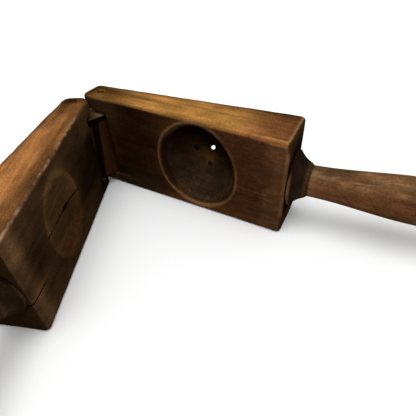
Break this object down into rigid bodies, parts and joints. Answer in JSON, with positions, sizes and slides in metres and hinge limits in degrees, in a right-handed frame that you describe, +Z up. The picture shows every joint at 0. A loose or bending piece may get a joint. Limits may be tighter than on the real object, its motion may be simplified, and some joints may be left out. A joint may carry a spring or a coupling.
{
  "type": "hinged wooden hand press",
  "caption": "Old wooden hand press for nuts or citrus: tapered jaws with a drained cup and a shallow dish, a pegged wooden hinge link and turned handles.",
  "frame": {"origin": "on the table, in the middle of the cup jaw's underside, below the centre of the cup", "axes": "+X along the cup jaw's inner face towards its handle, +Y from that face into the jaw, +Z up across the jaw's width"},
  "size_m": [0.2977, 0.3198, 0.07],
  "materials": {
    "jaw_wood": "worn, oiled and darkened with age, lighter on edges",
    "handle_wood": "turned, hand-polished satin",
    "link_wood": "worn, dry",
    "peg_wood": "dark end grain"
  },
  "bodies": {
    "cup_side": {"cup_jaw": "jaw_wood", "cup_handle": "handle_wood", "cup_pin": "peg_wood"},
    "link": {"hinge_link": "link_wood"},
    "dish_side": {"dish_jaw": "jaw_wood", "dish_handle": "handle_wood", "dish_pin": "peg_wood"}
  },
  "joints": [
    {"name": "link_swing", "type": "hinge", "parent": "cup_side", "child": "link", "pos_m": [-0.091, -0.0053, 0], "axis": [0, 0, 1], "range_deg": [-71, 19]},
    {"name": "dish_swing", "type": "hinge", "parent": "link", "child": "dish_side", "pos_m": [-0.09868, -0.02761, 0], "axis": [0, 0, 1], "range_deg": [-46.1, 43.9]}
  ]
}
